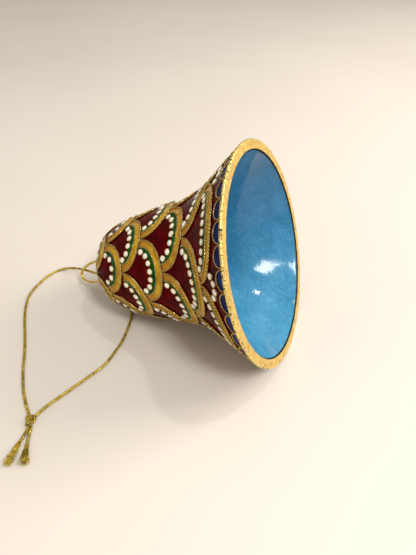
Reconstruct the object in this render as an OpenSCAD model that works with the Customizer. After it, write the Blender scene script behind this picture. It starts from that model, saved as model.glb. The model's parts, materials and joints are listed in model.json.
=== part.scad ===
// Cloisonne bell ornament lying on its side, with its hanging cord laid out on the table.
// Units are millimetres. Z is up and the table is z = 0.
// The bell is drawn upside down about its own axis, mouth at z = 0 and crown at the top,
// then laid over so that it rests on the rim and the shoulder.

/* [Bell body] */
// outside diameter of the mouth rim
mouth_d = 70; // [60:1:80]
// height from the mouth plane to the crown
bell_h = 61.5; // [56:0.5:66]
// outside radius at the middle of the waist
waist_r = 21; // [19:0.5:23]
// height of the middle of the waist
waist_z = 26; // [23:0.5:29]
// lean of the waist wall from the axis, in degrees
waist_lean = 8.5; // [6:0.5:10]
// outside radius of the shoulder curve
shoulder_r = 15.8; // [14.5:0.1:17]
// thickness of the red enamel ground
ground_t = 0.65; // [0.5:0.05:0.8]
// thickness of the copper shell
copper_t = 1; // [0.8:0.1:1.1]
// thickness of the blue enamel lining
lining_t = 0.5; // [0.4:0.1:0.7]

/* [Mouth rim] */
// width of the gilded rim face
rim_w = 3.1; // [2.8:0.1:3.5]
// thickness of the rim along the bell axis
rim_t = 0.8; // [0.7:0.05:1]
// rounding of the rim edges
rim_round = 0.3; // [0.2:0.05:0.35]
// number of blue half moons behind the rim
scallops = 36; // [30:1:40]
// height of each half moon along the wall
scallop_h = 2.6; // [2.2:0.1:2.8]

/* [Scale pattern] */
// number of scales in each row
scales = 6; // [5:1:7]
// width of the gilded cell wires
wire_w = 0.45; // [0.3:0.05:0.6]
// height of the wires above the enamel
wire_up = 0.15; // [0.1:0.05:0.25]
// width of the amber band of each scale
amber_w = 1.6; // [1.2:0.1:1.8]
// greatest width of the green crescent
green_w = 1.3; // [0.9:0.1:1.5]
// diameter of the white enamel dots
dot_d = 1.55; // [1.3:0.05:1.7]

/* [Hanging loop] */
// diameter of the brass loop wire
loop_wire = 1; // [0.8:0.1:1.2]
// outside reach of the loop from the crown
loop_reach = 16; // [13:0.5:17]
// half width of the loop at its wire centre
loop_half = 3.9; // [3.3:0.1:4.2]
// turn of the loop plane about the bell axis, in degrees
loop_turn = 34; // [0:1:60]
// sideways bend of the loop in its own plane, in degrees
loop_bend = 8; // [0:1:12]
// radius of the gilded collar on the crown
collar_r = 3.2; // [2.6:0.1:4]

/* [Clapper] */
// diameter of the clapper bead
bead_d = 7; // [6:0.5:8]
// distance from the pivot to the middle of the bead
clapper_l = 29; // [26:0.5:30]
// diameter of the clapper wire
clapper_wire_d = 0.9; // [0.7:0.1:1]

/* [Cord] */
// diameter of the gold cord
cord_d = 1; // [0.8:0.1:1.2]

/* [Hidden] */

$fn = 48;
gold = [0.80, 0.62, 0.30];
brass = [0.78, 0.60, 0.24];
cord_gold = [0.78, 0.62, 0.30];

mouth_r = mouth_d / 2;
wall_r = mouth_r - 0.5;
sink = 0.15;
ground_top = -0.35;
copper_top = ground_top - ground_t;
lining_top = copper_top - copper_t;
lining_low = lining_top - lining_t;

// Scale rows from the mouth up: distance along the wall, turn about the axis, dots per scale.
// The rows were placed by eye on the real thing, so the steps are not quite even.
rows = [[5, -39, 10], [12.7, -69, 9], [21.5, -33, 7], [30.3, -62, 7],
    [39.4, -32, 6], [47.3, -57, 5], [56.5, -32, 4]];
last_row_end = 65.2;

function bez(a, b, c, d, t) = pow(1 - t, 3) * a + 3 * pow(1 - t, 2) * t * b
    + 3 * (1 - t) * t * t * c + pow(t, 3) * d;

// Outside profile as [radius, height]: the flare up to the waist, then waist to crown.
waist = [waist_r, waist_z];
lean = [sin(waist_lean), -cos(waist_lean)];
flare_pts = [for (i = [0:13]) bez([wall_r, rim_t], [wall_r - 2.7, 6],
    waist + 10.8 * lean, waist, i / 14)];
dome_pts = [for (i = [0:16]) bez(waist, waist - 32.3 * lean,
    [shoulder_r, bell_h], [0, bell_h], i / 16)];
prof = concat(flare_pts, dome_pts);
prof_n = len(prof);
prof_s = [for (i = 0, s = rim_t + 0.1; i < prof_n;
    s = s + (i + 1 < prof_n ? norm(prof[i + 1] - prof[i]) : 0), i = i + 1) s];
r_table = [for (i = [0:prof_n - 1]) [prof_s[i], prof[i][0]]];
z_table = [for (i = [0:prof_n - 1]) [prof_s[i], prof[i][1]]];

// Point and outward normal of the wall at distance s along it.
function wall_at(s) = [lookup(s, r_table), lookup(s, z_table)];
function wall_dir(s) = let (d = wall_at(s + 0.8) - wall_at(s - 0.8)) d / norm(d);
function wall_out(s) = let (d = wall_dir(s)) [d[1], -d[0]];
function wall_pt(s, a, h) = let (p = wall_at(s) + h * wall_out(s))
    [p[0] * cos(a), p[0] * sin(a), p[1]];

// Profile moved outward by h, cut at the back of the rim and at the crown hole.
hole_r = 1;
function vertex_out(i) = i == prof_n - 1 ? [0, 1]
    : let (d = prof[i + 1] - prof[max(i - 1, 0)]) [d[1], -d[0]] / norm(d);
function moved(h) = [for (i = [0:prof_n - 1]) prof[i] + h * vertex_out(i)];
function cut_start(p) = lookup(rim_t, [for (q = p) [q[1], q[0]]]);
function cut_end(p) = lookup(-hole_r, [for (q = p) [-q[0], q[1]]]);
function layer_line(h) = let (p = moved(h)) concat([[cut_start(p), rim_t]],
    [for (q = p) if (q[1] > rim_t + 0.3 && q[0] > hole_r + 0.3) q],
    [[hole_r, cut_end(p)]]);
function flip(p) = [for (i = [len(p) - 1:-1:0]) p[i]];

module layer(top, low) {
    rotate_extrude() polygon(concat(layer_line(top), flip(layer_line(low))));
}

// How the bell lies: the straight line that touches both the rim and the shoulder.
touch = [for (p = moved(wire_up)) if (p[1] > 20)
    atan2(mouth_r - p[0], p[1] - rim_t * 0.7)];
lie = min(touch);
tip_z = bell_h + loop_reach;
mouth_x = (tip_z * cos(lie) - mouth_r * sin(lie)) / 2;
mouth_z = rim_round + (rim_t - rim_round) * sin(lie) + (mouth_r - rim_round) * cos(lie);

module laid() {
    translate([mouth_x, 0, mouth_z]) rotate([0, -90 - lie, 0]) children();
}

// A strip that follows the wall: corners from edge a to edge b, from height low to top.
// pa and pb are lists of [distance, angle] along the two edges.
module strip(pa, pb, low, top) {
    n = len(pa);
    pts = [for (i = [0:n - 1]) each [
        wall_pt(pa[i][0], pa[i][1], low), wall_pt(pa[i][0], pa[i][1], top),
        wall_pt(pb[i][0], pb[i][1], top), wall_pt(pb[i][0], pb[i][1], low)]];
    sides = [for (i = [0:n - 2], k = [0:3]) let (a = 4 * i + k, b = 4 * i + (k + 1) % 4)
        each [[a, b, b + 4], [a, b + 4, a + 4]]];
    e = 4 * (n - 1);
    polyhedron(pts, concat(sides, [[0, 3, 2], [0, 2, 1],
        [e, e + 1, e + 2], [e, e + 2, e + 3]]));
}

// Half ellipse edge of a scale: apex toward the mouth, ends at distance s_end.
arch_steps = 8;
function degrees_at(s, mm) = mm / lookup(s, r_table) * 180 / PI;
function arch(s_end, turn, half, inset, high) = [for (i = [0:arch_steps])
    let (f = -90 + 180 * i / arch_steps, s = s_end - high * cos(f))
    [s, turn + (half - degrees_at(s, inset)) * sin(f)]];

module arch_strip(s_end, turn, half, high, in_a, in_b, cut_a, cut_b, low, top) {
    strip(arch(s_end, turn, half, in_a, high - cut_a),
        arch(s_end, turn, half, in_b, high - cut_b), low, top);
}

gap = 0.04;
scale_half = 180 / scales - 0.3;
function row_end(k) = k + 1 < len(rows) ? rows[k + 1][0] - 0.1 : last_row_end;

// One strip of every scale, between two insets from the outer edge.
module scale_strips(in_a, in_b, cut_a, cut_b, top) {
    for (k = [0:len(rows) - 1], j = [0:scales - 1]) {
        s_end = row_end(k);
        arch_strip(s_end, rows[k][1] + 360 / scales * j, scale_half,
            s_end - rows[k][0], in_a, in_b, cut_a, cut_b, ground_top - sink, top);
    }
}

amber_in = wire_w + gap;
amber_out = amber_in + amber_w;
wire2_in = amber_out + gap;
wire2_out = wire2_in + wire_w;
green_in = wire2_out + gap;

module amber_bands() {
    color([0.78, 0.55, 0.12]) laid()
        scale_strips(amber_in, amber_out, amber_in, amber_out, -0.03);
}

module outer_scale_wires() {
    color(gold) laid() scale_strips(0, wire_w, 0, wire_w, wire_up);
}

module inner_scale_wires() {
    color(gold) laid() scale_strips(wire2_in, wire2_out, wire2_in, wire2_out, wire_up);
}

module green_crescents() {
    color([0.05, 0.32, 0.12]) laid()
        scale_strips(green_in, green_in + 0.3, green_in, green_in + green_w, -0.05);
}

// Dots sit along a half ellipse inside each crescent, evenly spaced by distance.
function curve_len(a, b, f) = f <= 0 ? 0
    : curve_len(a, b, f - 5) + norm([a * cos(f - 2.5), b * sin(f - 2.5)]);
function dot_angle(a, b, share) = let (t = [for (f = [0:5:80]) [curve_len(a, b, f), f]])
    sign(share) * lookup(abs(share) * t[len(t) - 1][0], t);

module dot(s, turn) {
    p = wall_at(s);
    n = wall_out(s);
    rotate([0, 0, turn]) translate([p[0], 0, p[1]]) rotate([0, atan2(n[0], n[1]), 0])
        translate([0, 0, ground_top - 0.25]) cylinder(d = dot_d, h = 0.7);
}

module dot_arc(s_end, turn, half, inset, b, count) {
    mid = s_end - 4;
    a = (half - degrees_at(mid, inset)) * lookup(mid, r_table) * PI / 180;
    for (i = [0:count - 1]) {
        f = dot_angle(a, b, -1 + 2 * i / (count - 1));
        s = s_end - b * cos(f);
        dot(s, turn + (half - degrees_at(s, inset)) * sin(f));
    }
}

module white_dots() {
    color([0.94, 0.93, 0.88]) laid() {
        for (k = [0:len(rows) - 1], j = [0:scales - 1]) {
            s_end = row_end(k);
            dot_arc(s_end, rows[k][1] + 360 / scales * j, scale_half,
                green_in + 0.5 + dot_d / 2,
                s_end - rows[k][0] - green_in - green_w - 0.22 - dot_d / 2, rows[k][2]);
        }
        for (j = [0:scales - 1])
            dot_arc(7.2, rows[0][1] + 360 / scales * (j + 0.5), degrees_at(6.5, 3), 0, 1.5, 4);
    }
}

module mouth_rim() {
    q = rim_round;
    inner = mouth_r - rim_w;
    module_arc = [for (c = [[inner + q, q, 180], [mouth_r - q, q, 270],
        [mouth_r - q, rim_t - q, 0], [inner + q, rim_t - q, 90]], i = [0:4])
        [c[0] + q * cos(c[2] + 22.5 * i), c[1] + q * sin(c[2] + 22.5 * i)]];
    color(gold) laid() rotate_extrude() polygon(module_arc);
}

module copper_shell() {
    color([0.72, 0.43, 0.28]) laid() layer(copper_top, lining_top);
}

module blue_lining() {
    color([0.25, 0.58, 0.72]) laid() layer(lining_top, lining_low);
}

module red_ground() {
    color([0.40, 0.03, 0.04]) laid() layer(ground_top, copper_top);
}

// Half moons stand on the back of the rim.
moon_s = rim_t + 0.42;
function moon(mm, high, turn) = [for (i = [0:4]) let (f = -90 + 45 * i,
    s = moon_s + high * cos(f)) [s, turn + degrees_at(s, mm * sin(f))]];
moon_half = PI * wall_r / scallops - 0.15;

module blue_scallops() {
    color([0.10, 0.16, 0.42]) laid() for (j = [0:scallops - 1]) {
        turn = 360 / scallops * (j + 0.5);
        strip([for (p = moon(moon_half - 0.35, scallop_h - 0.35, turn)) [moon_s, p[1]]],
            [for (p = moon(moon_half - 0.35, scallop_h - 0.35, turn)) p + [0.02, 0]],
            ground_top - sink, -0.03);
    }
}

module scallop_wires() {
    color(gold) laid() for (j = [0:scallops - 1]) {
        turn = 360 / scallops * (j + 0.5);
        strip(moon(moon_half - 0.3, scallop_h - 0.3, turn), moon(moon_half, scallop_h, turn),
            ground_top - sink, wire_up);
    }
}

// Wire that ends the pattern at the crown.
module crown_wire() {
    s_a = last_row_end + 0.1;
    s_b = last_row_end + 0.55;
    low = ground_top - sink;
    color(gold) laid() rotate_extrude() polygon([wall_at(s_a) + low * wall_out(s_a),
        wall_at(s_a) + wire_up * wall_out(s_a), wall_at(s_b) + wire_up * wall_out(s_b),
        wall_at(s_b) + low * wall_out(s_b)]);
}

// Gilded collar that closes the enamel at the crown.
collar_top = bell_h + 0.4;
module crown_collar() {
    color(gold) laid() rotate_extrude() polygon([[hole_r, bell_h + ground_top],
        [collar_r, bell_h + ground_top - 0.25], [collar_r, bell_h - 0.1],
        [collar_r - 0.5, bell_h + 0.25], [hole_r, collar_top]]);
}

// Oval wire loop soldered to the collar, and the pin through the crown whose inner eye
// holds the clapper.
loop_a = (loop_reach - loop_wire / 2) / 2;
eye_r = 1.6;
eye_wire = 0.45;
pivot_z = bell_h - 6.9;

function unit(v) = v / norm(v);

// Closed round tube through the points p. None of its runs may point along the vector up.
module closed_tube(p, r, sides, up) {
    n = len(p);
    rings = [for (i = [0:n - 1]) let (t = unit(p[(i + 1) % n] - p[(i + n - 1) % n]),
        u = unit(cross(t, up)), v = cross(u, t))
        each [for (k = [0:sides - 1]) p[i] + r * (cos(360 * k / sides) * u
            + sin(360 * k / sides) * v)]];
    polyhedron(rings, [for (i = [0:n - 1], k = [0:sides - 1])
        let (a = sides * i + k, b = sides * i + (k + 1) % sides,
            c = sides * ((i + 1) % n) + k, d = sides * ((i + 1) % n) + (k + 1) % sides)
        each [[a, d, c], [a, b, d]]]);
}

module hanging_loop() {
    color(brass) laid() rotate([0, 0, loop_turn]) translate([0, 0, collar_top])
        rotate([0, -loop_bend, 0]) closed_tube([for (i = [0:35])
            [loop_half * sin(10 * i), 0, loop_a * (1 - cos(10 * i))]],
            loop_wire / 2, 10, [0, 1, 0]);
}

module wire_ring(radius, wire) {
    rotate_extrude() translate([radius, 0]) circle(d = wire, $fn = 24);
}

module crown_pin() {
    color(brass) laid() {
        translate([0, 0, pivot_z + 2 * eye_r]) cylinder(r = hole_r,
            h = bell_h - pivot_z - 2 * eye_r);
        translate([0, 0, pivot_z + eye_r]) rotate([0, 90, 0])
            wire_ring(eye_r, 2 * eye_wire);
    }
}

// The clapper leans on the lower wall, with a small gap left between bead and lining.
bead_r = bead_d / 2;
function bead_gap(a) = min([for (p = moved(lining_low)) if (p[1] > 5)
    norm([p[0] - clapper_l * sin(a), p[1] - pivot_z + clapper_l * cos(a)])]) - bead_r;
swing = min([for (a = [10:0.25:60]) if (bead_gap(a) < 0.35) a]) - 0.25;

module hung() {
    laid() translate([0, 0, pivot_z]) rotate([0, swing, 0]) children();
}

ring_r = 1.5;
ring_low = 0.3 + ring_r;
module clapper_wire() {
    color(brass) hung() {
        translate([0, 0, -0.3]) rotate([90, 0, 0]) wire_ring(ring_r, 0.8);
        translate([0, 0, -clapper_l - bead_r - 0.7]) cylinder(d = clapper_wire_d,
            h = clapper_l + bead_r + 0.7 - ring_low);
        translate([0, 0, -clapper_l - bead_r - 1]) sphere(r = 1.1);
        translate([0, 0, -clapper_l + bead_r + 0.6]) sphere(r = 0.9);
    }
}

module clapper_bead() {
    color(brass) hung() translate([0, 0, -clapper_l]) difference() {
        sphere(r = bead_r);
        translate([0, 0, -bead_r - 1]) cylinder(r = clapper_wire_d / 2 + 0.25, h = bead_d + 2);
    }
}

// Cord route points, laid by hand on the table and up through the loop.
cz = cord_d / 2 + 0.05;
left_route = [[-36.6, -0.7, 7.6], [-38.8, 0, 7.1], [-42, 1.6, 5.6], [-45.4, 3, 4],
    [-49, 4.2, 2.4], [-52.6, 4.6, 1.1], [-56, 2.6, cz], [-58, -2, cz], [-58.6, -8, cz],
    [-58, -14, cz], [-55, -20.4, cz], [-50.6, -26.8, cz], [-46.2, -32.6, cz],
    [-42.4, -38, cz], [-38.2, -44.4, cz], [-33.8, -50.2, cz], [-30, -54.2, cz],
    [-26.6, -57.2, cz]];
right_route = [[-36.6, -0.7, 7.6], [-34.6, -0.2, 7.2], [-32.2, 0.9, 5.8], [-29.8, 1.6, 3.8],
    [-27.4, 1.4, 2], [-24.4, -0.4, 0.8], [-21, -3.6, cz], [-18, -7.4, cz],
    [-15.6, -11.4, cz], [-14.4, -16, cz], [-13.4, -22.6, cz], [-13.6, -28.2, cz],
    [-14.2, -33.8, cz], [-16.6, -39.4, cz], [-19, -44.4, cz], [-21.2, -49, cz],
    [-23.2, -53.2, cz], [-24.4, -56.4, cz]];
knot_at = [-24.6, -58.6, 1.2];
left_end = [[-24.2, -60.2, 0.8], [-23.9, -62, cz], [-23.7, -64, cz], [-23.6, -65.6, cz]];
right_end = [[-23.6, -60, 0.8], [-22.8, -62, cz], [-21.9, -64, cz], [-21.2, -65.4, cz]];
left_fray = [[-23.6, -65.6, cz], [-23.4, -67.8, 0.8], [-23.1, -70, 1], [-22.8, -72.4, 1]];
right_fray = [[-21.2, -65.4, cz], [-20.2, -67.2, 0.8], [-19.2, -69, 1], [-18.2, -70.8, 1]];

function curve(a, b, c, d, t) = 0.5 * (2 * b + (c - a) * t
    + (2 * a - 5 * b + 4 * c - d) * t * t + (3 * b - a - 3 * c + d) * t * t * t);
function smooth(p, step) = concat([for (i = [0:len(p) - 2])
    let (n = max(1, round(norm(p[i + 1] - p[i]) / step)))
    each [for (j = [0:n - 1]) curve(p[max(i - 1, 0)], p[i], p[i + 1],
        p[min(i + 2, len(p) - 1)], j / n)]], [p[len(p) - 1]]);

// Round tube along a list of points; its radius runs evenly from r_a to r_b.
module tube(p, r_a, r_b, sides = 8) {
    n = len(p);
    rings = [for (i = [0:n - 1]) let (t = unit(p[min(i + 1, n - 1)] - p[max(i - 1, 0)]),
        u = unit(cross(t, [0, 0, 1])), v = cross(u, t), r = r_a + (r_b - r_a) * i / (n - 1))
        each [for (k = [0:sides - 1]) p[i] + r * (cos(360 * k / sides) * u
            + sin(360 * k / sides) * v)]];
    walls = [for (i = [0:n - 2], k = [0:sides - 1])
        let (a = sides * i + k, b = sides * i + (k + 1) % sides)
        each [[a, b + sides, a + sides], [a, b, b + sides]]];
    polyhedron(rings, concat(walls, [[for (k = [sides - 1:-1:0]) k]],
        [[for (k = [0:sides - 1]) sides * (n - 1) + k]]));
}

module cord_left_run() {
    color(cord_gold) tube(smooth(left_route, 2.4), cord_d / 2, cord_d / 2);
}

module cord_right_run() {
    color(cord_gold) tube(smooth(right_route, 2.4), cord_d / 2, cord_d / 2);
}

// Overhand knot: one closed crossing curve of the cord, which is pulled thin there.
function knot_pt(t) = knot_at + [0.6 * (sin(t) + 2 * sin(2 * t)),
    0.6 * (cos(t) - 2 * cos(2 * t)), -0.7 * sin(3 * t)];

module cord_knot() {
    color(cord_gold) closed_tube([for (i = [0:59]) knot_pt(6 * i)], 0.37 * cord_d, 8,
        [0, 0, 1]);
}

module left_tail() {
    color(cord_gold) tube(smooth(left_end, 1.8), cord_d / 2, cord_d / 2);
}

module right_tail() {
    color(cord_gold) tube(smooth(right_end, 1.8), cord_d / 2, cord_d / 2);
}

module left_tassel() {
    color(cord_gold) tube(smooth(left_fray, 1.8), cord_d / 2, 0.95);
}

module right_tassel() {
    color(cord_gold) tube(smooth(right_fray, 1.8), cord_d / 2, 0.95);
}

copper_shell();
blue_lining();
mouth_rim();
red_ground();
crown_collar();
amber_bands();
green_crescents();
white_dots();
outer_scale_wires();
inner_scale_wires();
blue_scallops();
scallop_wires();
crown_wire();
hanging_loop();
crown_pin();
clapper_wire();
clapper_bead();
cord_left_run();
cord_right_run();
cord_knot();
left_tail();
right_tail();
left_tassel();
right_tassel();
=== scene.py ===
"""Looks of the cloisonne bell ornament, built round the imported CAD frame."""
import json
import math

import bpy
import numpy as np
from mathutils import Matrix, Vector


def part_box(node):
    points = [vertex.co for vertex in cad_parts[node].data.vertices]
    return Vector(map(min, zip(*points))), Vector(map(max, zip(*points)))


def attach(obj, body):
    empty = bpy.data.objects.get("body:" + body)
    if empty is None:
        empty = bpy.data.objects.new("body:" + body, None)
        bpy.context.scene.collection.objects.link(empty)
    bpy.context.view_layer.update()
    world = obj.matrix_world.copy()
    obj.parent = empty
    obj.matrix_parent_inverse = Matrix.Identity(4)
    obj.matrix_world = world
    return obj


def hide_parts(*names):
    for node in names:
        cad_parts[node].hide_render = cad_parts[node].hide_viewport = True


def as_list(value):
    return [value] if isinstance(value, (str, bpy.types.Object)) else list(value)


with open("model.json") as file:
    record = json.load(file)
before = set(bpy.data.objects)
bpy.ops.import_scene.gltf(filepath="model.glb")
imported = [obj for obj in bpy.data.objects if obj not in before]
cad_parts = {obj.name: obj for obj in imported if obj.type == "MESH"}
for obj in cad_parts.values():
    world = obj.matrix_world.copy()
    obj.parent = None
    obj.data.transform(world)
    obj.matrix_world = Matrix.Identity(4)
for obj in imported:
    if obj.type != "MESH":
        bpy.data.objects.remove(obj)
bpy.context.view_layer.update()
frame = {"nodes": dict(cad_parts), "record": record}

MM = 0.001

# ---------------------------------------------------------------- where the bell lies
RECORD = frame["record"]
JOINTS = {joint["name"]: joint for joint in RECORD["behaviour"]["joints"]}
MOUNTS = {mount["name"]: mount for mount in RECORD["mounts"]}
RIM_LOW, RIM_HIGH = (np.array(corner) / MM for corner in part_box("mouth_rim"))
MOUTH_R = (RIM_HIGH[1] - RIM_LOW[1]) / 2
RIM_T = 0.8
AXIS = -np.array(MOUNTS["mouth_rim_face"]["axis"])      # from the mouth to the crown
AXIS /= np.linalg.norm(AXIS)
SIDE = np.array([0.0, 1.0, 0.0])
UP = np.cross(SIDE, AXIS)
MOUTH = (RIM_LOW + RIM_HIGH) / 2 - RIM_T / 2 * AXIS


def place(points):
    """Bell coordinates (up, side, along the axis), in mm, to the row frame in metres."""
    p = np.asarray(points, float)
    return (MOUTH + p[..., :1] * UP + p[..., 1:2] * SIDE + p[..., 2:] * AXIS) * MM


# ---------------------------------------------------------------- the bell's profile, in mm
BELL_H = 61.5
WALL_R = MOUTH_R - 0.5
WAIST = np.array([21.0, 26.0])
LEAN = np.array([math.sin(math.radians(8.5)), -math.cos(math.radians(8.5))])
SHOULDER_R = 15.8


def bezier(a, b, c, d, count):
    """Points along a cubic curve from a to d."""
    t = np.linspace(0, 1, count)[:, None]
    return ((1 - t) ** 3 * a + 3 * (1 - t) ** 2 * t * b + 3 * (1 - t) * t ** 2 * c
            + t ** 3 * d)


FLARE = bezier(np.array([WALL_R, RIM_T]), np.array([WALL_R - 2.7, 6.0]),
               WAIST + 10.8 * LEAN, WAIST, 120)
DOME = bezier(WAIST, WAIST - 32.3 * LEAN, np.array([SHOULDER_R, BELL_H]),
              np.array([0.0, BELL_H]), 160)
PROFILE = np.vstack([FLARE, DOME[1:]])
STEPS = np.linalg.norm(np.diff(PROFILE, axis=0), axis=1)
RUN = RIM_T + 0.1 + np.concatenate([[0], np.cumsum(STEPS)])      # distance along the wall
SLOPE = np.gradient(PROFILE, RUN, axis=0)
SLOPE /= np.linalg.norm(SLOPE, axis=1)[:, None]


def wall_frame(s):
    """Radius, height and outward normal of the outside wall at distance s from the mouth."""
    r, z = (np.interp(s, RUN, PROFILE[:, k]) for k in (0, 1))
    dr, dz = (np.interp(s, RUN, SLOPE[:, k]) for k in (0, 1))
    return r, z, dz, -dr


def wall(s, turn, lift=0.0):
    """Points on the outside wall, lifted along its normal. turn is in degrees."""
    r, z, out_r, out_z = wall_frame(np.asarray(s, float))
    r = r + lift * out_r
    a = np.radians(turn)
    return np.stack([r * np.cos(a), r * np.sin(a), z + lift * out_z], axis=-1)


def wall_normal(s, turn):
    """Outward normal of the outside wall, in bell coordinates."""
    _, _, out_r, out_z = wall_frame(np.asarray(s, float))
    a = np.radians(turn)
    return np.stack([out_r * np.cos(a), out_r * np.sin(a), out_z], axis=-1)


# ---------------------------------------------------------------- mesh helpers
class Sheets:
    """Collects grids of points and joins them into one smooth mesh object."""

    def __init__(self):
        self.points, self.faces, self.finish, self.groove, self.count = [], [], [], [], 0

    def add(self, grid, around=False, caps=False, loop=False, groove=None, finish=None):
        """grid is (rows, columns, 3). around closes the columns, loop the rows.

        groove is how deep in a hollow each point lies, 0 to 1. finish picks the material of
        each strip of columns.
        """
        rows, cols = grid.shape[:2]
        index = self.count + np.arange(rows * cols).reshape(rows, cols)
        if around:
            index = np.hstack([index, index[:, :1]])
        if loop:
            index = np.vstack([index, index[:1]])
        quads = np.stack([index[:-1, :-1], index[1:, :-1], index[1:, 1:], index[:-1, 1:]], axis=-1)
        strips = np.zeros(quads.shape[1], int) if finish is None else np.asarray(finish)
        self.faces += quads.reshape(-1, 4).tolist()
        self.finish += np.tile(strips, quads.shape[0]).tolist()
        if caps:
            self.faces += [index[0, :cols].tolist(), index[-1, :cols][::-1].tolist()]
            self.finish += [0, 0]
        self.points.append(grid.reshape(-1, 3))
        self.groove.append(np.zeros(rows * cols) if groove is None else groove.reshape(-1))
        self.count += rows * cols

    def build(self, name, *shaders, bell=True):
        points = np.vstack(self.points)
        points = place(points) if bell else points * MM
        mesh = bpy.data.meshes.new(name)
        mesh.from_pydata(points.tolist(), [], self.faces)
        mesh.polygons.foreach_set("use_smooth", [True] * len(mesh.polygons))
        for shader in shaders:
            mesh.materials.append(shader)
        mesh.polygons.foreach_set("material_index", self.finish)
        groove = mesh.attributes.new("groove", "FLOAT", "POINT")
        groove.data.foreach_set("value", np.concatenate(self.groove))
        mesh.update()
        piece = bpy.data.objects.new(name, mesh)
        bpy.context.scene.collection.objects.link(piece)
        return piece


def finish_piece(piece, body, slot, *nodes):
    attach(piece, body)
    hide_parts(*nodes)
    return piece


def resample(points, step):
    """The polyline again, with points a step apart."""
    length = np.concatenate([[0], np.cumsum(np.linalg.norm(np.diff(points, axis=0), axis=1))])
    count = max(3, int(round(length[-1] / step)) + 1)
    at = np.linspace(0, length[-1], count)
    return np.stack([np.interp(at, length, points[:, k]) for k in range(3)], axis=-1), at


def frames_along(points, up):
    """Side and top unit vectors along a line. up is one vector or one per point."""
    tangent = np.gradient(points, axis=0)
    tangent /= np.linalg.norm(tangent, axis=1)[:, None]
    side = np.cross(tangent, np.broadcast_to(up, points.shape))
    side /= np.linalg.norm(side, axis=1)[:, None]
    return side, np.cross(side, tangent)


def rope(points, up, radius, strands, pitch, step, sides, depth, closed):
    """Tube whose lobed section turns along the line, like wire or thread twisted together.

    Returns its grid of points and how deep in a groove each one lies.
    """
    if closed:
        points = np.vstack([points, points[:1]])
    line, at = resample(points, step)
    if np.ndim(up) == 2:
        if closed:
            up = np.vstack([up, up[:1]])
        length = np.linspace(0, at[-1], len(up))
        up = np.stack([np.interp(at, length, up[:, k]) for k in range(3)], axis=-1)
    side, top = frames_along(line, up)
    spin = 2 * math.pi * round(at[-1] / pitch) * at / at[-1]
    phi = 2 * math.pi * np.arange(sides) / sides
    lobe = np.cos(strands * (phi[None, :] - spin[:, None]))
    reach = (radius * (1 - depth + depth * lobe))[..., None]
    grid = line[:, None] + reach * (np.cos(phi)[:, None] * side[:, None]
                                    + np.sin(phi)[:, None] * top[:, None])
    groove = (1 - lobe) / 2 * (depth > 0)
    return (grid[:-1], groove[:-1]) if closed else (grid, groove)


def add_rope(sheets, points, up, radius, strands=1, pitch=1.0, step=0.2, sides=10, depth=0.0,
             closed=False):
    grid, groove = rope(points, up, radius, strands, pitch, step, sides, depth, closed)
    sheets.add(grid, around=True, caps=not closed, loop=closed, groove=groove)


def revolve(outline, count):
    """Grid of an outline of [radius, height] turned about the axis."""
    a = 2 * math.pi * np.arange(count) / count
    return np.stack([outline[:, :1] * np.cos(a), outline[:, :1] * np.sin(a),
                     outline[:, 1:] + 0 * a], axis=-1)


# ---------------------------------------------------------------- material helpers
class Shader:
    """A small wrapper that makes a node material and links its nodes."""

    def __init__(self, name, **uniform):
        self.material = bpy.data.materials.new(name)
        self.material.use_nodes = True
        self.tree = self.material.node_tree
        self.surface = self.tree.nodes["Principled BSDF"]
        for key, value in uniform.items():
            self.surface.inputs[key.replace("_", " ")].default_value = value
        self.where = self.node("ShaderNodeTexCoord").outputs["Object"]

    def node(self, kind, inputs=None, **settings):
        made = self.tree.nodes.new(kind)
        for key, value in settings.items():
            setattr(made, key, value)
        for key, value in (inputs or {}).items():
            if isinstance(value, bpy.types.NodeSocket):
                self.tree.links.new(value, made.inputs[key])
            else:
                made.inputs[key].default_value = value
        return made

    def noise(self, scale, detail=4.0, rough=0.55, distort=0.0):
        made = self.node("ShaderNodeTexNoise", {"Vector": self.where, "Scale": scale,
                         "Detail": detail, "Roughness": rough, "Distortion": distort})
        return made.outputs["Fac"]

    def cells(self, scale):
        made = self.node("ShaderNodeTexVoronoi", {"Vector": self.where, "Scale": scale})
        return made.outputs["Distance"]

    def ramp(self, factor, *stops):
        """stops are (position, value) with value a number or an RGB colour."""
        made = self.node("ShaderNodeValToRGB", {"Fac": factor})
        points = made.color_ramp.elements
        while len(points) < len(stops):
            points.new(0.5)
        for point, (position, value) in zip(points, stops):
            point.position = position
            value = (value,) * 3 if isinstance(value, (int, float)) else value
            point.color = (*value, 1.0)
        return made.outputs["Color"]

    def mix(self, factor, a, b, blend="MIX"):
        made = self.node("ShaderNodeMix", data_type="RGBA", blend_type=blend)
        for socket, value in ((made.inputs[0], factor), (made.inputs[6], a), (made.inputs[7], b)):
            if isinstance(value, bpy.types.NodeSocket):
                self.tree.links.new(value, socket)
            elif socket.type == "RGBA":
                socket.default_value = (*value, 1.0)
            else:
                socket.default_value = value
        return made.outputs[2]

    def maths(self, operation, a, b):
        return self.node("ShaderNodeMath", {0: a, 1: b}, operation=operation).outputs[0]

    def set(self, socket, value):
        self.tree.links.new(value, self.surface.inputs[socket])

    def bump(self, height, distance, strength=1.0, under=None):
        """Bump of that many millimetres; returns its normal for stacking."""
        inputs = {"Height": height, "Distance": distance * MM, "Strength": strength}
        if under is not None:
            inputs["Normal"] = under
        made = self.node("ShaderNodeBump", inputs)
        self.set("Normal", made.outputs["Normal"])
        return made.outputs["Normal"]


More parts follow.
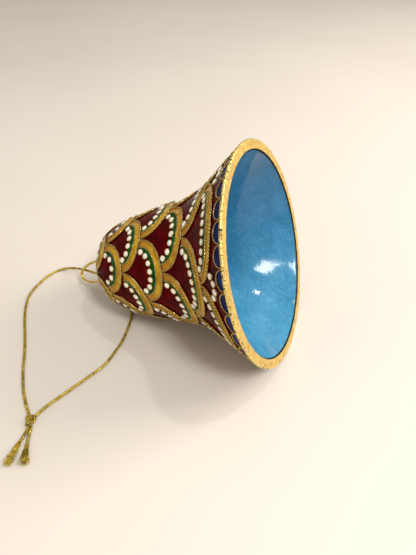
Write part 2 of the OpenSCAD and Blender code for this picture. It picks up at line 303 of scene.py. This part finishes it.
def enamel(name, dark, mid, light, cloud=260.0, rough=0.12, gloss=0.35, corner=None):
    """Fired glass: clouded colour, tiny pits and a softly uneven polished face.

    corner is the colour where the glass lies deep in the corners of its cell.
    """
    shader = Shader(name, IOR=1.45, Specular_IOR_Level=gloss)
    clouds = shader.noise(cloud, 5.0, 0.6, 0.4)
    colour = shader.ramp(clouds, (0.3, dark), (0.52, mid), (0.72, light))
    if corner:
        groove = shader.node("ShaderNodeAttribute", attribute_name="groove").outputs["Fac"]
        colour = shader.mix(groove, colour, corner)
    grains = shader.ramp(shader.cells(1900.0), (0.0, 0.6), (0.22, 1.0))
    shader.set("Base Color", shader.mix(0.6, colour, grains, "MULTIPLY"))
    shader.set("Roughness", shader.ramp(shader.noise(700.0), (0.3, rough), (0.7, rough + 0.14)))
    waves = shader.bump(shader.noise(430.0, 2.0), 0.05)
    pits = shader.ramp(shader.cells(1300.0), (0.0, 0.0), (0.12, 1.0))
    shader.bump(pits, 0.012, 0.5, waves)
    return shader.material


def gold(name, bright, dull, pit_dirt_and_groove_shade, rough, wear=0.5, grain=1.0, pits=0.43):
    """Gilded or brass metal with painted shade in its grooves, dark pits, tarnish and a grainy face.

    pits is the share of noise below which the metal is pitted through.
    """
    shader = Shader(name, Metallic=1.0)
    tarnish = shader.ramp(shader.noise(420.0, 6.0, 0.65, 0.3), (0.36, 0.0), (0.68, 1.0))
    colour = shader.mix(tarnish, dull, bright)
    specks = shader.ramp(shader.noise(1500.0, 3.0, 0.7), (pits - 0.10, 1.0), (pits, 0.0))
    colour = shader.mix(shader.maths("MULTIPLY", specks, wear), colour, pit_dirt_and_groove_shade)
    # Painted shade: the colour is darkened deep in the grooves between the twisted strands.
    groove = shader.node("ShaderNodeAttribute", attribute_name="groove").outputs["Fac"]
    deep = shader.ramp(groove, (0.22, 0.0), (0.62, 1.0))
    shader.set("Base Color", shader.mix(shader.maths("MULTIPLY", deep, 0.9), colour, pit_dirt_and_groove_shade))
    shader.set("Roughness", shader.ramp(shader.noise(900.0, 5.0), (0.3, rough),
                                        (0.75, min(1.0, rough + 0.28))))
    sunk = shader.bump(specks, -0.05 * wear)
    rough_face = shader.bump(shader.noise(1500.0, 6.0, 0.7), 0.05 * grain, under=sunk)
    shader.bump(shader.noise(5200.0, 3.0), 0.015 * grain, 0.7, rough_face)
    return shader.material


def red_enamel():
    return enamel("red_enamel_glass", (0.028, 0.0003, 0.0005), (0.078, 0.0007, 0.0012),
                  (0.130, 0.0022, 0.0030), gloss=0.03)


def amber_enamel():
    return enamel("amber_enamel_glass", (0.38, 0.190, 0.002), (0.58, 0.335, 0.005),
                  (0.76, 0.50, 0.02), 420.0, 0.08, 0.3, corner=(0.42, 0.165, 0.0015))


def green_enamel():
    return enamel("green_enamel_glass", (0.001, 0.026, 0.002), (0.003, 0.080, 0.006),
                  (0.010, 0.15, 0.014), cloud=420.0, gloss=0.06)


def white_enamel():
    return enamel("white_enamel_glass", (0.78, 0.76, 0.66), (0.95, 0.94, 0.88),
                  (1.0, 1.0, 0.97), cloud=600.0)


def navy_enamel():
    return enamel("navy_enamel_glass", (0.002, 0.005, 0.045), (0.004, 0.011, 0.10),
                  (0.012, 0.035, 0.20), cloud=420.0, gloss=0.06)


def blue_lining_enamel():
    """Counter-enamel: mottled turquoise with pale and deep flecks under a thick gloss, with painted
    light towards the mouth and painted shade deep inside.
    """
    shader = Shader("blue_lining_glass", IOR=1.5, Specular_IOR_Level=0.32)
    clouds = shader.ramp(shader.noise(110.0, 6.0, 0.62, 0.5), (0.3, (0.025, 0.162, 0.325)),
                         (0.5, (0.034, 0.192, 0.372)), (0.72, (0.052, 0.232, 0.425)))
    flecks = shader.ramp(shader.noise(1000.0, 4.0, 0.7), (0.40, 0.88), (0.62, 1.12))
    pale = shader.ramp(shader.cells(900.0), (0.0, 1.0), (0.16, 0.0))
    colour = shader.mix(1.0, clouds, flecks, "MULTIPLY")
    colour = shader.mix(shader.maths("MULTIPLY", pale, 0.3), colour, (0.22, 0.55, 0.72))
    # Painted light and shade: lighter and warmer towards the mouth, darker deep inside the bell
    # towards the crown.
    height = shader.node("ShaderNodeSeparateXYZ", {"Vector": shader.where}).outputs["Z"]
    painted_depth_light = shader.ramp(shader.maths("MULTIPLY", height, 1 / (66 * MM)), (0.05, (0.62, 0.50, 0.42)),
                       (0.45, (0.35, 0.35, 0.35)), (0.85, (0.24, 0.26, 0.27)))
    shader.set("Base Color", shader.mix(1.0, colour, shader.mix(1.0, painted_depth_light, (2.8,) * 3, "MULTIPLY"),
                                        "MULTIPLY"))
    shader.set("Roughness", shader.ramp(shader.noise(300.0), (0.3, 0.06), (0.75, 0.16)))
    waves = shader.bump(shader.noise(170.0, 3.0), 0.05)
    shader.bump(shader.cells(1100.0), 0.03, 0.35, waves)
    return shader.material


def cord_thread():
    """Metallic thread of bright flat filaments, with glints painted into its colour as bright and
    dark patches, and painted shade in the grooves between strands.
    """
    shader = Shader("gold_cord_thread", Metallic=0.85)
    # Painted glints: bright and dark patches of colour along the thread, fine ones and larger ones.
    painted_glints_and_shade = shader.ramp(shader.noise(2600.0, 4.0, 0.7, 0.6), (0.36, (0.20, 0.115, 0.008)),
                         (0.5, (0.66, 0.46, 0.035)), (0.62, (1.0, 0.86, 0.24)))
    painted_glints_and_shade = shader.mix(0.7, painted_glints_and_shade, shader.ramp(shader.noise(480.0, 3.0), (0.38, 0.35),
                                                 (0.6, 1.25)), "MULTIPLY")
    # Painted shade in the grooves between the strands.
    groove = shader.node("ShaderNodeAttribute", attribute_name="groove").outputs["Fac"]
    painted_glints_and_shade = shader.mix(shader.ramp(groove, (0.5, 0.0), (1.0, 0.8)), painted_glints_and_shade,
                        (0.10, 0.06, 0.012))
    shader.set("Base Color", painted_glints_and_shade)
    shader.set("Roughness", shader.ramp(shader.noise(1800.0), (0.3, 0.28), (0.7, 0.55)))
    strands = shader.bump(shader.noise(3600.0, 3.0, 0.7, 1.0), 0.10)
    shader.bump(shader.cells(5200.0), 0.03, 0.6, strands)
    return shader.material


# ---------------------------------------------------------------- camera, first
VIEW_AZIMUTH = math.radians(18.94)
VIEW_ELEVATION = math.radians(41.3)
CAMERA_FROM_MOUTH = np.array([16.3, -106.4, 83.5])
CAMERA_LENS = 28.15


def make_camera():
    camera = bpy.data.objects.new("photo_camera", bpy.data.cameras.new("photo_camera"))
    bpy.context.scene.collection.objects.link(camera)
    camera.data.lens = CAMERA_LENS
    camera.data.clip_start = 0.005
    camera.data.clip_end = 20.0
    camera.location = Vector((MOUTH + CAMERA_FROM_MOUTH) * MM)
    look = Vector((-math.sin(VIEW_AZIMUTH) * math.cos(VIEW_ELEVATION),
                   math.cos(VIEW_AZIMUTH) * math.cos(VIEW_ELEVATION), -math.sin(VIEW_ELEVATION)))
    camera.rotation_euler = look.to_track_quat("-Z", "Y").to_euler()
    bpy.context.scene.camera = camera


make_camera()

# ---------------------------------------------------------------- the cord, in mm
CORD_D = 1.0
CZ = CORD_D / 2 + 0.05                                  # height of a cord that lies on the table
# The routes are the CAD's, except that their last points reach further into the knot.
LEFT_ROUTE = [(-36.6, -0.7, 7.6), (-38.8, 0, 7.1), (-42, 1.6, 5.6), (-45.4, 3, 4),
              (-49, 4.2, 2.4), (-52.6, 4.6, 1.1), (-56, 2.6, CZ), (-58, -2, CZ),
              (-58.6, -8, CZ), (-58, -14, CZ), (-55, -20.4, CZ), (-50.6, -26.8, CZ),
              (-46.2, -32.6, CZ), (-42.4, -38, CZ), (-38.2, -44.4, CZ), (-33.8, -50.2, CZ),
              (-30, -54.2, CZ), (-25.9, -57.9, CZ)]
RIGHT_ROUTE = [(-36.6, -0.7, 7.6), (-34.6, -0.2, 7.2), (-32.2, 0.9, 5.8), (-29.8, 1.6, 3.8),
               (-27.4, 1.4, 2), (-24.4, -0.4, 0.8), (-21, -3.6, CZ), (-18, -7.4, CZ),
               (-15.6, -11.4, CZ), (-14.4, -16, CZ), (-13.4, -22.6, CZ), (-13.6, -28.2, CZ),
               (-14.2, -33.8, CZ), (-16.6, -39.4, CZ), (-19, -44.4, CZ), (-21.2, -49, CZ),
               (-23.2, -53.2, CZ), (-24.5, -57.6, CZ)]
KNOT = np.array([-24.8, -58.9, 1.1])
LEFT_END = [(-24.2, -60.2, 0.8), (-23.9, -62, CZ), (-23.7, -64, CZ), (-23.6, -65.6, CZ)]
RIGHT_END = [(-23.6, -60, 0.8), (-22.8, -62, CZ), (-21.9, -64, CZ), (-21.2, -65.4, CZ)]
CORD_PITCH = 2.2
THREAD = cord_thread()
TABLE_UP = np.array([0.0, 0.0, 1.0])


def smooth(route, count=24):
    """Catmull-Rom curve through the route's points."""
    p = np.array([route[0], *route, route[-1]], float)
    t = np.linspace(0, 1, count, endpoint=False)[:, None]
    runs = [0.5 * (2 * b + (c - a) * t + (2 * a - 5 * b + 4 * c - d) * t ** 2
            + (3 * b - a - 3 * c + d) * t ** 3)
            for a, b, c, d in zip(p[:-3], p[1:-2], p[2:-1], p[3:])]
    return np.vstack([*runs, p[-1:]])


def cord_tube(name, line, node, radius=CORD_D / 2, closed=False):
    tube = Sheets()
    add_rope(tube, line, TABLE_UP, radius, 3, CORD_PITCH, 0.13, 18, 0.11, closed)
    return finish_piece(tube.build(name, THREAD, bell=False), "bell", "gold_cord", node)


def knot_line():
    """Closed crossing curve of the overhand knot."""
    t = np.linspace(0, 2 * math.pi, 220, endpoint=False)
    return KNOT + np.stack([0.42 * (np.sin(t) + 2 * np.sin(2 * t)),
                            0.55 * (np.cos(t) - 2 * np.cos(2 * t)), -0.6 * np.sin(3 * t)], axis=-1)


def frayed_end(name, start, toward, spread, node, seed):
    """Loose filaments that fan out from the cut end of the cord and lie on the table."""
    draw = np.random.default_rng(seed)
    start, toward = np.array(start, float), np.array(toward, float)
    ahead = toward - start
    length = np.linalg.norm(ahead[:2])
    ahead /= np.linalg.norm(ahead)
    side = np.cross(ahead, TABLE_UP)
    side /= np.linalg.norm(side)
    sheets = Sheets()
    for _ in range(110):
        t = np.linspace(0, 1, 14)[:, None]
        root = draw.uniform(-0.4, 0.4, 2)
        fan = spread * draw.normal(0, 0.42)
        reach = length * draw.uniform(0.72, 1.04)
        wave = draw.normal(0, 0.10) * np.sin(draw.uniform(3, 7) * t + draw.uniform(0, 6))
        bow = draw.normal(0, 0.22) * np.sin(math.pi * t)
        lift = start[2] + root[1] * (1 - 0.5 * t) + draw.uniform(-0.1, 0.75) * np.sin(1.9 * t)
        line = start + ahead * reach * t + side * (root[0] + fan * t ** 1.2 + wave + bow)
        line[:, 2] = np.maximum(lift[:, 0], 0.10 + 0.05 * draw.uniform())
        add_rope(sheets, line, TABLE_UP, 0.07, 2, 0.9, 0.3, 6, 0.2)
    return finish_piece(sheets.build(name, THREAD, bell=False), "bell", "gold_cord", node)


def make_cord():
    left, right = smooth(LEFT_ROUTE), smooth(RIGHT_ROUTE)
    pieces = [cord_tube("cord_knot_twist", knot_line(), "cord_knot", 0.45 * CORD_D, closed=True),
              cord_tube("left_tail_twist", smooth(LEFT_END), "left_tail"),
              cord_tube("right_tail_twist", smooth(RIGHT_END), "right_tail"),
              frayed_end("left_frayed_end", LEFT_END[-1], (-22.8, -72.4, 0.8), 1.2,
                         "left_tassel", 3),
              frayed_end("right_frayed_end", RIGHT_END[-1], (-18.2, -70.8, 0.8), 1.2,
                         "right_tassel", 4)]
    for name, line, node, held in (("cord_left_twist", left, "cord_left_run", pieces),
                                   ("cord_right_twist", right, "cord_right_run", pieces[:1])):
        tube = cord_tube(name, line, node)
        length = np.linalg.norm(np.diff(line, axis=0), axis=1).sum() * MM
        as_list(held)


make_cord()

# ---------------------------------------------------------------- pattern sizes, in mm
SCALES = 6
ROWS = [(5, -39, 10), (12.7, -69, 9), (21.5, -33, 7), (30.3, -62, 7), (39.4, -32, 6),
        (47.3, -57, 5), (56.5, -32, 4)]
LAST_ROW_END = 65.2
WIRE_W = 0.45
AMBER_W = 1.6
GREEN_W = 1.3
GREEN_SIDE_W = 1.1                                      # the crescent's width at its two ends
GREEN_UNDER_DOTS = 0.9                                  # how far it runs on under the dots
DOT_D = 1.55
GAP = 0.04
SCALE_HALF = 180 / SCALES - 0.3
WIRE2_IN = WIRE_W + AMBER_W + 2 * GAP
GREEN_IN = WIRE2_IN + WIRE_W + GAP
DOT_INSET = GREEN_IN + 0.5 + DOT_D / 2
DOT_CUT = GREEN_IN + GREEN_W + 0.22 + DOT_D / 2
SMALL_ARC_END = 7.2                                     # the short runs of dots near the rim
SMALL_ARC_HALF = 3.0
SMALL_ARC_HIGH = 1.5
SMALL_ARC_DOTS = 4
GROUND_LIFT = -0.30
WIRE_R = 0.30
WIRE_LIFT = 0.06
WIRE_GROOVE = 0.33
WIRE_PITCH = 1.7
ARCH_POINTS = 64


def row_end(k):
    """Where a row's scales end: just short of the next row, or at the crown."""
    return ROWS[k + 1][0] - 0.1 if k + 1 < len(ROWS) else LAST_ROW_END


def all_scales():
    """(end distance, turn, height, dots) of every scale."""
    for k, (start, turn, dots) in enumerate(ROWS):
        for j in range(SCALES):
            yield row_end(k), turn + 360 / SCALES * j, row_end(k) - start, dots


def degrees_at(s, mm):
    """The turn about the axis that spans that many millimetres of wall at s."""
    return np.degrees(mm / np.interp(s, RUN, PROFILE[:, 0]))


def arch(end, turn, high, inset, cut, count=ARCH_POINTS):
    """Distances and turns along a scale's half ellipse, set in from its outer edge."""
    f = np.linspace(-math.pi / 2, math.pi / 2, count)
    s = end - (high - cut) * np.cos(f)
    return s, turn + (SCALE_HALF - degrees_at(s, inset)) * np.sin(f)


def band(end, turn, high, near, far, lift):
    """Grid between two insets; near and far are (inset, cut) pairs, lift a list across."""
    s0, a0 = arch(end, turn, high, *near)
    s1, a1 = arch(end, turn, high, *far)
    share = np.linspace(0, 1, len(lift))
    s = s0[:, None] + (s1 - s0)[:, None] * share
    a = a0[:, None] + (a1 - a0)[:, None] * share
    return wall(s, a, np.broadcast_to(lift, s.shape))


def add_wall_wire(sheets, s, turn, radius, pitch=WIRE_PITCH, step=0.1, closed=False):
    """Two thin wires twisted together, laid on the wall."""
    add_rope(sheets, wall(s, turn, WIRE_LIFT), wall_normal(s, turn), radius, 2, pitch, step,
             10, WIRE_GROOVE, closed)


# ---------------------------------------------------------------- the bell's pieces
GILT = gold("gilded_wire", (1.0, 0.76, 0.30), (0.78, 0.50, 0.11), (0.008, 0.004, 0.001), 0.12)


def make_ground():
    """Red enamel between the scales, a little below the wall's own curve."""
    s = np.linspace(RUN[0] + 0.1, RUN[-1] - 2.6, 260)
    r, z, out_r, out_z = wall_frame(s)
    line = np.stack([r + GROUND_LIFT * out_r, z + GROUND_LIFT * out_z], axis=-1)
    sheets = Sheets()
    sheets.add(revolve(line[::-1], 480), around=True)
    finish_piece(sheets.build("red_enamel_ground", red_enamel()), "bell", "red_enamel",
                 "red_ground")


def make_bands():
    """Amber band hollowed between its two wires, and the green crescent inside it."""
    amber, green = Sheets(), Sheets()
    share = np.linspace(0, 1, 8)
    hollow = -0.02 - 0.16 * np.sin(math.pi * share)
    swell = np.array([-0.04, -0.01, -0.01, -0.02, -0.06, -0.12, -0.20, -0.36])
    ends = np.abs(np.linspace(-1, 1, ARCH_POINTS)) ** 2.5
    deep = 0.4 * np.abs(2 * share - 1) ** 3 + ends[:, None]
    edge = WIRE_W / 2
    for end, turn, high, _ in all_scales():
        amber.add(band(end, turn, high, (edge, edge), (WIRE2_IN + edge,) * 2, hollow),
                  groove=np.clip(deep, 0, 1))
        green.add(band(end, turn, high, (GREEN_IN - edge,) * 2,
                       (GREEN_IN + GREEN_SIDE_W, GREEN_IN + GREEN_W + GREEN_UNDER_DOTS),
                       swell))
    finish_piece(amber.build("amber_enamel_bands", amber_enamel()), "bell", "amber_enamel",
                 "amber_bands")
    finish_piece(green.build("green_enamel_crescents", green_enamel()), "bell",
                 "green_enamel", "green_crescents")


def make_scale_wires():
    """The outer and the inner cell wire of every scale."""
    for name, node, inset in (("outer_twisted_wires", "outer_scale_wires", WIRE_W / 2),
                              ("inner_twisted_wires", "inner_scale_wires",
                               WIRE2_IN + WIRE_W / 2)):
        sheets = Sheets()
        for end, turn, high, _ in all_scales():
            add_wall_wire(sheets, *arch(end, turn, high, inset, inset, 90), WIRE_R)
        finish_piece(sheets.build(name, GILT), "bell", "gilding", node)


def even_arc(a, b, count):
    """Angles along a half ellipse that space count dots evenly."""
    f = np.radians(np.linspace(-80, 80, 161))
    steps = np.hypot(a * np.diff(np.sin(f)), b * np.diff(np.cos(f)))
    run = np.concatenate([[0], np.cumsum(steps)])
    return np.interp(np.linspace(0, run[-1], count), run, f)


def dot_arc(end, turn, half, inset, high, count):
    """Distances and turns of evenly spaced dots along a half ellipse."""
    mid = end - 4
    wide = math.radians(half - degrees_at(mid, inset)) * np.interp(mid, RUN, PROFILE[:, 0])
    for f in even_arc(wide, high, count):
        s = end - high * math.cos(f)
        yield s, turn + (half - degrees_at(s, inset)) * math.sin(f)


def dot_places():
    """(distance, turn) of every white dot."""
    for end, turn, high, count in all_scales():
        yield from dot_arc(end, turn, SCALE_HALF, DOT_INSET, high - DOT_CUT, count)
    half = degrees_at(6.5, SMALL_ARC_HALF)
    for j in range(SCALES):
        turn = ROWS[0][1] + 360 / SCALES * (j + 0.5)
        yield from dot_arc(SMALL_ARC_END, turn, half, 0, SMALL_ARC_HIGH, SMALL_ARC_DOTS)


def make_dots():
    """Domed dots of white enamel, each in its own small wire ring."""
    draw = np.random.default_rng(11)
    dots, rings = Sheets(), Sheets()
    a = 2 * math.pi * np.arange(24) / 24
    for s, turn in dot_places():
        centre, out = wall(s, turn), wall_normal(s, turn)
        along = np.cross([-math.sin(math.radians(turn)), math.cos(math.radians(turn)), 0], out)
        across = np.cross(out, along)
        size = (DOT_D / 2 + 0.06) * draw.uniform(0.93, 1.04)
        high = draw.uniform(0.20, 0.32)
        ring = np.cos(a)[:, None] * along + np.sin(a)[:, None] * across
        t = np.array([0.02, 0.3, 0.55, 0.78, 0.93, 1.0, 1.0])
        lift = high * np.sqrt(np.clip(1 - t ** 2.6, 0, 1)) + np.array([0] * 6 + [-0.4])
        dots.add(centre + ring[None] * (size * t)[:, None, None] + lift[:, None, None] * out,
                 around=True)
        circle = centre + ring * (size + 0.07) + out * 0.02
        add_rope(rings, circle, out, 0.11, step=0.24, sides=6, closed=True)
    finish_piece(dots.build("white_enamel_dots", white_enamel()), "bell", "white_enamel",
                 "white_dots")
    piece = rings.build("white_dot_rings", GILT)
    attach(piece, "bell")


SCALLOPS = 36
MOON_S = RIM_T + 0.2
SCALLOP_H = 2.8
MOON_HALF = math.pi * WALL_R / SCALLOPS - 0.15


def moon(turn, half, high, count=24):
    """Distances and turns along the curved side of a half moon."""
    f = np.linspace(-math.pi / 2, math.pi / 2, count)
    s = MOON_S + high * np.cos(f)
    return s, turn + degrees_at(s, half * np.sin(f))


def make_scallops():
    """Dark blue half moons behind the rim, each in its own wire."""
    fill, wires = Sheets(), Sheets()
    for j in range(SCALLOPS):
        turn = 360 / SCALLOPS * (j + 0.5)
        s, a = moon(turn, MOON_HALF - 0.15, SCALLOP_H - 0.15)
        share = np.linspace(0, 1, 5)
        fill.add(wall(RUN[0] + (s[:, None] - RUN[0]) * share, a[:, None] + 0 * share,
                      -0.06 - 0.07 * np.sin(math.pi * share) + 0 * s[:, None]))
        add_wall_wire(wires, *moon(turn, MOON_HALF - 0.1, SCALLOP_H - 0.1), 0.19, 0.8, 0.08)
    finish_piece(fill.build("navy_enamel_moons", navy_enamel()), "bell", "navy_enamel",
                 "blue_scallops")
    finish_piece(wires.build("moon_wires", GILT), "bell", "gilding", "scallop_wires")


def make_crown_wire():
    """Ring of twisted wire that ends the pattern at the crown."""
    sheets = Sheets()
    a = np.linspace(0, 360, 721)[:-1]
    add_wall_wire(sheets, np.full(a.shape, LAST_ROW_END + 0.32), a, 0.24, closed=True)
    finish_piece(sheets.build("crown_twisted_wire", GILT), "bell", "gilding", "crown_wire")


RIM_W = 3.1
RIM_ROUND = 0.32
PITTED_W = 0.5                                          # worn strip at the rim's outer edge, painted lighter as a highlight
DARK_EDGE_W = 0.14                                         # dark strip at its inner edge


def rounded_box(low, high, corner, steps=5):
    """Outline of a rectangle in [radius, height] with rounded corners."""
    points = []
    left, right = low[0] + corner, high[0] - corner
    bottom, top = low[1] + corner, high[1] - corner
    centres = [(left, bottom), (right, bottom), (right, top), (left, top)]
    for k, (r, z) in enumerate(centres):
        a = np.radians(180 + 90 * k + np.linspace(0, 90, steps))
        points += [[r + corner * math.cos(x), z + corner * math.sin(x)] for x in a]
    return np.array(points)


def subdivide(outline, step):
    """The closed outline again, with points a step apart."""
    closed = np.vstack([outline, outline[:1]])
    flat = np.column_stack([closed, np.zeros(len(closed))])
    return resample(flat, step)[0][:-1, :2]


def make_rim():
    """Gilded ring: hammered worn face, pitted outer edge painted lighter as a highlight, and dark
    inner edge.
    """
    outline = subdivide(rounded_box((MOUTH_R - RIM_W, 0.0), (MOUTH_R, RIM_T), RIM_ROUND), 0.12)
    grid = revolve(outline, 900)
    turn = np.arctan2(grid[..., 1], grid[..., 0])
    dents = sum(0.016 * np.sin(k * turn + p + 2.1 * np.sin(m * turn))
                for k, p, m in ((37, 0.4, 5), (61, 2.0, 7), (97, 4.1, 3), (149, 1.2, 11)))
    grid[..., 2] += np.clip(dents, -0.06, 0.06) * np.clip((0.4 - grid[..., 2]) / 0.3, 0, 1)
    middle = (outline + np.roll(outline, -1, axis=0)) / 2
    edge = np.where(middle[:, 0] > MOUTH_R - PITTED_W, 1, 0)
    edge[middle[:, 0] < MOUTH_R - RIM_W + DARK_EDGE_W] = 2
    sheets = Sheets()
    sheets.add(grid.transpose(1, 0, 2), around=True, loop=True, finish=edge)
    # The outer strip's pits are real wear; its lighter colour is a painted highlight along the
    # rounded edge.
    bright, dull, pit_dirt_and_groove_shade = (0.90, 0.66, 0.22), (0.66, 0.43, 0.10), (0.05, 0.028, 0.01)
    piece = sheets.build("gilded_mouth_rim", gold("worn_gilding", bright, dull, pit_dirt_and_groove_shade, 0.34, 0.7, 2.2),
                         gold("pitted_gilding_painted_highlight", (1.0, 0.80, 0.26), bright, pit_dirt_and_groove_shade, 0.20, 1.0, 3.0,
                              pits=0.49),
                         gold("dark_inner_edge_gilding", (0.10, 0.085, 0.04), (0.03, 0.03, 0.02), pit_dirt_and_groove_shade, 0.5,
                              1.0, 2.0, pits=0.50))
    finish_piece(piece, "bell", "gilding", "mouth_rim")


LINING_LIFT = -2.5


def make_lining():
    """Turquoise enamel on the inside wall, tucked behind the rim."""
    s = np.linspace(0.2, RUN[-1] - 1.0, 240)
    r, z, out_r, out_z = wall_frame(s)
    line = np.stack([r + LINING_LIFT * out_r, z + LINING_LIFT * out_z], axis=-1)
    inner = line[line[:, 1] > RIM_T - 0.05]
    start = np.array([[inner[0, 0] + 0.1, RIM_T - 0.3]])
    sheets = Sheets()
    sheets.add(revolve(np.vstack([start, inner]), 480), around=True)
    finish_piece(sheets.build("turquoise_lining", blue_lining_enamel()), "bell",
                 "blue_enamel", "blue_lining")


BRASS = gold("polished_brass", (0.92, 0.68, 0.20), (0.62, 0.42, 0.08), (0.10, 0.05, 0.01), 0.14,
             wear=0.35, grain=0.5)


def make_collar():
    """Low turned collar round the hole in the crown."""
    z = BELL_H
    outline = [(1.0, z + 0.40), (2.2, z + 0.36), (2.7, z + 0.25), (3.05, z + 0.08),
               (3.2, z - 0.15), (3.2, z - 0.6)]
    flat = np.column_stack([outline, np.zeros(len(outline))])
    line = resample(flat, 0.15)[0][:, :2]
    sheets = Sheets()
    sheets.add(revolve(line, 160), around=True)
    finish_piece(sheets.build("gilded_crown_collar", GILT), "bell", "gilding", "crown_collar")


LOOP_REACH = 16.0
LOOP_WIRE = 1.0
LOOP_HALF = 3.9
LOOP_TURN = math.radians(34)
LOOP_BEND = math.radians(-8)


def make_loop():
    """Oval of bent brass wire with a slightly uneven hand-made line."""
    t = np.linspace(0, 2 * math.pi, 240, endpoint=False)
    half = (LOOP_REACH - LOOP_WIRE / 2) / 2
    along = half * (1 - np.cos(t))
    across = LOOP_HALF * np.sin(t) * (1 + 0.04 * np.sin(2 * t + 0.6))
    x = across * math.cos(LOOP_BEND) + along * math.sin(LOOP_BEND)
    z = along * math.cos(LOOP_BEND) - across * math.sin(LOOP_BEND)
    line = np.stack([x * math.cos(LOOP_TURN), x * math.sin(LOOP_TURN), z + BELL_H + 0.4], axis=-1)
    normal = np.array([-math.sin(LOOP_TURN), math.cos(LOOP_TURN), 0.0])
    sheets = Sheets()
    add_rope(sheets, line, normal, LOOP_WIRE / 2, sides=20, closed=True)
    finish_piece(sheets.build("brass_hanging_loop", BRASS), "bell", "brass_wire",
                 "hanging_loop")


for build in (make_ground, make_bands, make_scale_wires, make_dots, make_scallops,
              make_crown_wire, make_rim, make_lining, make_collar, make_loop):
    build()

# ---------------------------------------------------------------- the clapper
PIVOT = np.array(JOINTS["clapper_swing"]["pos_m"]) / MM
DOWN = np.array(JOINTS["bead_spin"]["axis"])
DOWN /= np.linalg.norm(DOWN)
BEAD = np.array(JOINTS["bead_spin"]["pos_m"]) / MM
CLAPPER_L = float(np.linalg.norm(BEAD - PIVOT))
BEAD_R = 3.5


def add_turned(sheets, outline, count):
    """Outline of [radius, distance from the pivot] turned about the clapper's own line."""
    outline = np.asarray(outline, float)[:, :, None, None]
    a = 2 * math.pi * np.arange(count)[:, None] / count
    ring = np.cos(a) * SIDE + np.sin(a) * np.cross(SIDE, DOWN)
    sheets.add(PIVOT + outline[:, 1] * DOWN + outline[:, 0] * ring, around=True)


def ball(radius, centre, hole, steps):
    """Outline of a ball with a hole through it, as [radius, distance from the pivot]."""
    start = math.asin(hole / radius)
    return [(radius * math.sin(x), centre - radius * math.cos(x))
            for x in np.linspace(start, math.pi - start, steps)]


def make_clapper():
    """Wire with its eye, the stop above the bead, the end knob and the bead itself."""
    wire_r = 0.45
    knob = CLAPPER_L + BEAD_R + 1.0
    stop = CLAPPER_L - BEAD_R - 0.6
    wire = [(wire_r, 1.8), *ball(0.9, stop, wire_r, 12), *ball(1.1, knob, wire_r, 14),
            (0.02, knob + 1.05)]
    sheets = Sheets()
    add_turned(sheets, wire, 32)
    t = np.linspace(0, 2 * math.pi, 90, endpoint=False)[:, None]
    eye = PIVOT + (0.3 + 1.5 * np.sin(t)) * DOWN + 1.5 * np.cos(t) * np.cross(SIDE, DOWN)
    add_rope(sheets, eye, SIDE, 0.4, step=0.15, sides=14, closed=True)
    finish_piece(sheets.build("clapper_wire_and_eye", BRASS, bell=False), "clapper",
                 "brass_wire", "clapper_wire")
    face = ball(BEAD_R, CLAPPER_L, 0.7, 60)
    sheets = Sheets()
    add_turned(sheets, [*face, face[0]], 72)
    shader = gold("cast_brass", (0.80, 0.58, 0.25), (0.55, 0.36, 0.13), (0.10, 0.05, 0.02), 0.24,
                  0.5, 1.2)
    finish_piece(sheets.build("brass_clapper_bead", shader, bell=False), "bead",
                 "brass_bead", "clapper_bead")


make_clapper()


def carry_cad_nodes():
    """The hidden copper and the pin keep their CAD meshes with a real metal finish."""
    copper = gold("spun_copper", (0.72, 0.36, 0.22), (0.50, 0.22, 0.12), (0.10, 0.05, 0.03), 0.3)
    for node, shader in (("copper_shell", copper), ("crown_pin", BRASS)):
        mesh = frame["nodes"][node].data
        mesh.materials.clear()
        mesh.materials.append(shader)


carry_cad_nodes()


# ---------------------------------------------------------------- floor and light
FLOOR_HALF = 3.0                                        # in metres, like FLOOR_BACK
FLOOR_BACK = 0.75


def make_floor():
    """Pale plain table; its back edge lies well behind the bell."""
    shader = Shader("pale_table", Roughness=0.55)
    tone = shader.ramp(shader.noise(5.0, 3.0), (0.35, (0.70, 0.64, 0.57)), (0.7, (0.75, 0.69, 0.62)))
    shader.set("Base Color", tone)
    mesh = bpy.data.meshes.new("table")
    corners = [(-FLOOR_HALF, -FLOOR_HALF, 0), (FLOOR_HALF, -FLOOR_HALF, 0),
               (FLOOR_HALF, FLOOR_BACK, 0), (-FLOOR_HALF, FLOOR_BACK, 0)]
    mesh.from_pydata(corners, [], [(0, 1, 2, 3)])
    floor = bpy.data.objects.new("table", mesh)
    mesh.materials.append(shader.material)
    bpy.context.scene.collection.objects.link(floor)


def area_light(name, place_mm, target_mm, size, power, colour):
    data = bpy.data.lights.new(name, "AREA")
    data.shape = "RECTANGLE"
    data.size, data.size_y = (value * MM for value in size)
    data.energy = power
    data.color = colour
    light = bpy.data.objects.new(name, data)
    bpy.context.scene.collection.objects.link(light)
    light.location = Vector(place_mm) * MM
    aim = Vector(target_mm) - Vector(place_mm)
    light.rotation_euler = aim.to_track_quat("-Z", "Y").to_euler()


def make_light():
    world = bpy.data.worlds.new("soft_room")
    bpy.context.scene.world = world
    world.use_nodes = True
    sky = world.node_tree.nodes["Background"]
    sky.inputs["Color"].default_value = (1.0, 0.94, 0.86, 1.0)
    sky.inputs["Strength"].default_value = 0.57
    middle = (0, 0, 20)
    area_light("window", (352, -250, 572), middle, (130, 185), 2.4, (1.0, 0.99, 0.97))
    area_light("lamp", (172, 118, 596), middle, (34, 26), 0.5, (1.0, 0.98, 0.94))
    area_light("right_soft", (520, 330, 420), middle, (380, 380), 3.6, (1.0, 0.96, 0.90))
    bpy.context.scene.view_settings.view_transform = "Standard"


make_floor()
make_light()
